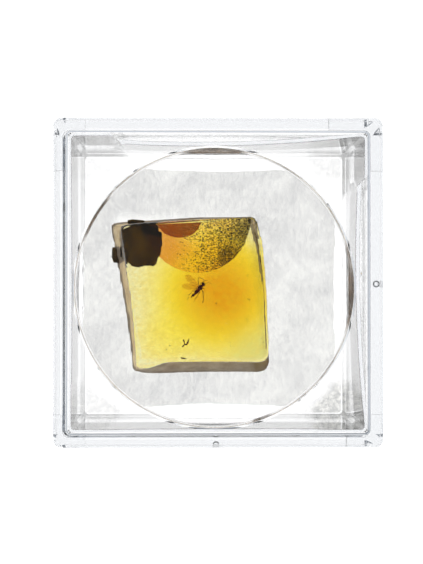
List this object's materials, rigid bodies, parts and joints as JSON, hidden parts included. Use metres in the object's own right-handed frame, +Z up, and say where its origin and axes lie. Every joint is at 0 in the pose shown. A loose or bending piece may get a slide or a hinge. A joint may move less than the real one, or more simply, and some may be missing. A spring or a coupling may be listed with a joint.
{
  "type": "magnifier display cube",
  "caption": "Clear plastic display cube with a lift-off magnifier lid over a shallow tray, holding a polished piece of insect amber.",
  "frame": {"origin": "centre of the underside of the base tray, on the surface the cube stands on", "axes": "+Z up through the lid, +Y towards the back, +X to the right"},
  "size_m": [0.032, 0.032, 0.0272],
  "materials": {
    "clear_plastic": "polished",
    "lens_plastic": "polished",
    "liner_film": "satin",
    "amber": "polished",
    "bark": "matte",
    "insect": "satin",
    "insect_wing": "satin"
  },
  "bodies": {
    "tray": {"base_tray": "clear_plastic", "liner_film": "liner_film"},
    "lid": {"lid_cover": "clear_plastic", "magnifier_lens": "lens_plastic"},
    "specimen": {"amber_block": "amber", "bark_inclusion": "bark", "gnat_body": "insect", "gnat_legs": "insect", "gnat_wings": "insect_wing", "insect_fragments": "insect"}
  },
  "joints": [
    {"name": "lid_lift", "type": "slide", "parent": "tray", "child": "lid", "axis": [0, 0, 1], "range_m": [0, 0.035]},
    {"name": "specimen_lift", "type": "slide", "parent": "tray", "child": "specimen", "axis": [0, 0, 1], "range_m": [0, 0.015]}
  ]
}
